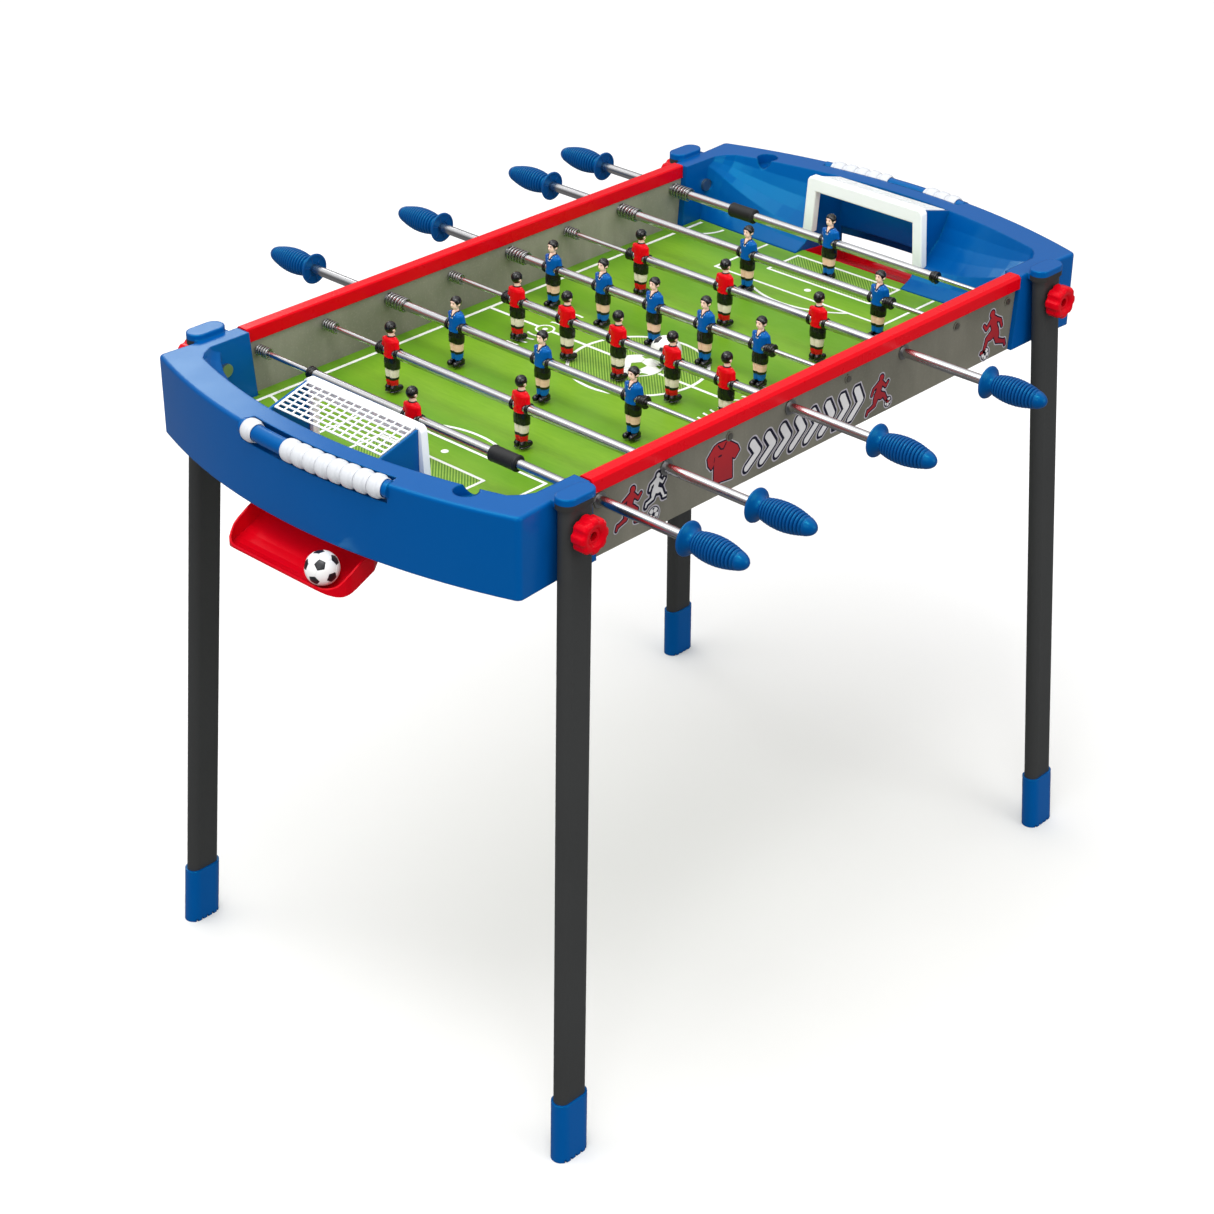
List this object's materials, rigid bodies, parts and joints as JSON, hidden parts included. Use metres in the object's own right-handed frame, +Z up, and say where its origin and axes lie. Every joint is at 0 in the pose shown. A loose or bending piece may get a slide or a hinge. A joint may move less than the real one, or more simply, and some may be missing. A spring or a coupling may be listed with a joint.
{
  "type": "tabletop foosball",
  "caption": "Children's football table on splayed legs, with telescopic player rods, moulded end shells, net goals, ball trays and bead counters.",
  "frame": {"origin": "on the floor, centred under the table between the four feet", "axes": "+X along the table towards the blue team's goal, -Y towards the side that holds the red team's handles, +Z up"},
  "size_m": [1.0603, 0.895, 0.772],
  "materials": {
    "blue_plastic": "glossy moulded polypropylene with a fine moulded grain",
    "red_plastic": "glossy red moulded plastic",
    "white_plastic": "satin white moulded plastic",
    "black_plastic": "satin black plastic",
    "grey_panel": "fibreboard with a mottled warm grey foil and printed pictograms",
    "printed_board": "thin fibreboard printed with a mown pitch and white lines",
    "graphite_paint": "satin graphite powder coat on oval steel tube",
    "chromed_steel": "bright chromed steel",
    "plated_steel": "zinc-plated steel",
    "spring_wire": "drawn spring wire",
    "red_team": "painted moulded figures in red shirts",
    "blue_team": "painted moulded figures in blue shirts",
    "ball_shell": "white ball with black pentagons"
  },
  "bodies": {
    "root": {"playfield": "printed_board", "side_panel_front": "grey_panel", "side_panel_back": "grey_panel", "side_rail_front": "red_plastic", "side_rail_back": "red_plastic", "end_shell_left": "blue_plastic", "end_shell_right": "blue_plastic", "goal_left": "white_plastic", "goal_right": "white_plastic", "ball_tray_left": "red_plastic", "ball_tray_right": "red_plastic", "legs": "graphite_paint", "foot_cups": "blue_plastic", "leg_bolts": "plated_steel", "tube_bushings": "plated_steel", "core_bushings": "black_plastic", "rod_springs": "spring_wire"},
    "rod_1_core": {"rod_1_inner_rod": "chromed_steel"},
    "rod_1_slider": {"rod_1_tube": "chromed_steel", "rod_1_players": "red_team", "rod_1_handle": "blue_plastic"},
    "rod_2_core": {"rod_2_inner_rod": "chromed_steel"},
    "rod_2_slider": {"rod_2_tube": "chromed_steel", "rod_2_players": "red_team", "rod_2_handle": "blue_plastic"},
    "rod_3_core": {"rod_3_inner_rod": "chromed_steel"},
    "rod_3_slider": {"rod_3_tube": "chromed_steel", "rod_3_players": "blue_team", "rod_3_handle": "blue_plastic"},
    "rod_4_core": {"rod_4_inner_rod": "chromed_steel"},
    "rod_4_slider": {"rod_4_tube": "chromed_steel", "rod_4_players": "red_team", "rod_4_handle": "blue_plastic"},
    "rod_5_core": {"rod_5_inner_rod": "chromed_steel"},
    "rod_5_slider": {"rod_5_tube": "chromed_steel", "rod_5_players": "blue_team", "rod_5_handle": "blue_plastic"},
    "rod_6_core": {"rod_6_inner_rod": "chromed_steel"},
    "rod_6_slider": {"rod_6_tube": "chromed_steel", "rod_6_players": "red_team", "rod_6_handle": "blue_plastic"},
    "rod_7_core": {"rod_7_inner_rod": "chromed_steel"},
    "rod_7_slider": {"rod_7_tube": "chromed_steel", "rod_7_players": "blue_team", "rod_7_handle": "blue_plastic"},
    "rod_8_core": {"rod_8_inner_rod": "chromed_steel"},
    "rod_8_slider": {"rod_8_tube": "chromed_steel", "rod_8_players": "blue_team", "rod_8_handle": "blue_plastic"},
    "knob_front_left": {"knob_front_left": "red_plastic"},
    "knob_front_right": {"knob_front_right": "red_plastic"},
    "knob_back_left": {"knob_back_left": "red_plastic"},
    "knob_back_right": {"knob_back_right": "red_plastic"},
    "score_beads_right_a": {"score_beads_right_a": "white_plastic"},
    "score_beads_right_b": {"score_beads_right_b": "white_plastic"},
    "score_beads_left_a": {"score_beads_left_a": "white_plastic"},
    "score_beads_left_b": {"score_beads_left_b": "white_plastic"},
    "ball": {"ball": "ball_shell"},
    "match_ball": {"match_ball": "ball_shell"}
  },
  "joints": [
    {"name": "rod_1_spin", "type": "hinge", "parent": "root", "child": "rod_1_core", "pos_m": [-0.33425, 0, 0.7285], "axis": [0, -1, 0], "continuous": true},
    {"name": "rod_1_slide", "type": "slide", "parent": "rod_1_core", "child": "rod_1_slider", "axis": [0, -1, 0], "range_m": [-0.0628, 0.0681]},
    {"name": "rod_2_spin", "type": "hinge", "parent": "root", "child": "rod_2_core", "pos_m": [-0.23875, 0, 0.7285], "axis": [0, -1, 0], "continuous": true},
    {"name": "rod_2_slide", "type": "slide", "parent": "rod_2_core", "child": "rod_2_slider", "axis": [0, -1, 0], "range_m": [-0.0665, 0.1469]},
    {"name": "rod_3_spin", "type": "hinge", "parent": "root", "child": "rod_3_core", "pos_m": [-0.14325, 0, 0.7285], "axis": [0, 1, 0], "continuous": true},
    {"name": "rod_3_slide", "type": "slide", "parent": "rod_3_core", "child": "rod_3_slider", "axis": [0, 1, 0], "range_m": [-0.0807, 0.0653]},
    {"name": "rod_4_spin", "type": "hinge", "parent": "root", "child": "rod_4_core", "pos_m": [-0.04775, 0, 0.7285], "axis": [0, -1, 0], "continuous": true},
    {"name": "rod_4_slide", "type": "slide", "parent": "rod_4_core", "child": "rod_4_slider", "axis": [0, -1, 0], "range_m": [-0.0667, 0.0335]},
    {"name": "rod_5_spin", "type": "hinge", "parent": "root", "child": "rod_5_core", "pos_m": [0.04775, 0, 0.7285], "axis": [0, 1, 0], "continuous": true},
    {"name": "rod_5_slide", "type": "slide", "parent": "rod_5_core", "child": "rod_5_slider", "axis": [0, 1, 0], "range_m": [-0.0696, 0.0276]},
    {"name": "rod_6_spin", "type": "hinge", "parent": "root", "child": "rod_6_core", "pos_m": [0.14325, 0, 0.7285], "axis": [0, -1, 0], "continuous": true},
    {"name": "rod_6_slide", "type": "slide", "parent": "rod_6_core", "child": "rod_6_slider", "axis": [0, -1, 0], "range_m": [-0.0798, 0.0649]},
    {"name": "rod_7_spin", "type": "hinge", "parent": "root", "child": "rod_7_core", "pos_m": [0.23875, 0, 0.7285], "axis": [0, 1, 0], "continuous": true},
    {"name": "rod_7_slide", "type": "slide", "parent": "rod_7_core", "child": "rod_7_slider", "axis": [0, 1, 0], "range_m": [-0.0567, 0.1597]},
    {"name": "rod_8_spin", "type": "hinge", "parent": "root", "child": "rod_8_core", "pos_m": [0.33425, 0, 0.7285], "axis": [0, 1, 0], "continuous": true},
    {"name": "rod_8_slide", "type": "slide", "parent": "rod_8_core", "child": "rod_8_slider", "axis": [0, 1, 0], "range_m": [-0.0652, 0.0657]},
    {"name": "knob_front_left_turn", "type": "hinge", "parent": "root", "child": "knob_front_left", "pos_m": [-0.3858, -0.2916, 0.7235], "axis": [0, -1, 0], "continuous": true},
    {"name": "knob_front_right_turn", "type": "hinge", "parent": "root", "child": "knob_front_right", "pos_m": [0.3858, -0.2916, 0.7235], "axis": [0, -1, 0], "continuous": true},
    {"name": "knob_back_left_turn", "type": "hinge", "parent": "root", "child": "knob_back_left", "pos_m": [-0.3858, 0.2916, 0.7235], "axis": [0, 1, 0], "continuous": true},
    {"name": "knob_back_right_turn", "type": "hinge", "parent": "root", "child": "knob_back_right", "pos_m": [0.3858, 0.2916, 0.7235], "axis": [0, 1, 0], "continuous": true},
    {"name": "beads_right_a_shift", "type": "hinge", "parent": "root", "child": "score_beads_right_a", "pos_m": [-0.261, 0, 0.7475], "axis": [0, 0, 1], "range_deg": [-1.95, 0.55]},
    {"name": "beads_right_b_shift", "type": "hinge", "parent": "root", "child": "score_beads_right_b", "pos_m": [-0.261, 0, 0.7475], "axis": [0, 0, 1], "range_deg": [-0.6, 1.95]},
    {"name": "beads_left_a_shift", "type": "hinge", "parent": "root", "child": "score_beads_left_a", "pos_m": [0.261, 0, 0.7475], "axis": [0, 0, 1], "range_deg": [-1.65, 0.25]},
    {"name": "beads_left_b_shift", "type": "hinge", "parent": "root", "child": "score_beads_left_b", "pos_m": [0.261, 0, 0.7475], "axis": [0, 0, 1], "range_deg": [-0.25, 1.65]},
    {"name": "ball_roll", "type": "slide", "parent": "root", "child": "ball", "axis": [0, 1, 0], "range_m": [-0.007, 0.112]},
    {"name": "match_ball_roll", "type": "slide", "parent": "root", "child": "match_ball", "axis": [0, 1, 0], "range_m": [-0.2, 0.245]}
  ]
}
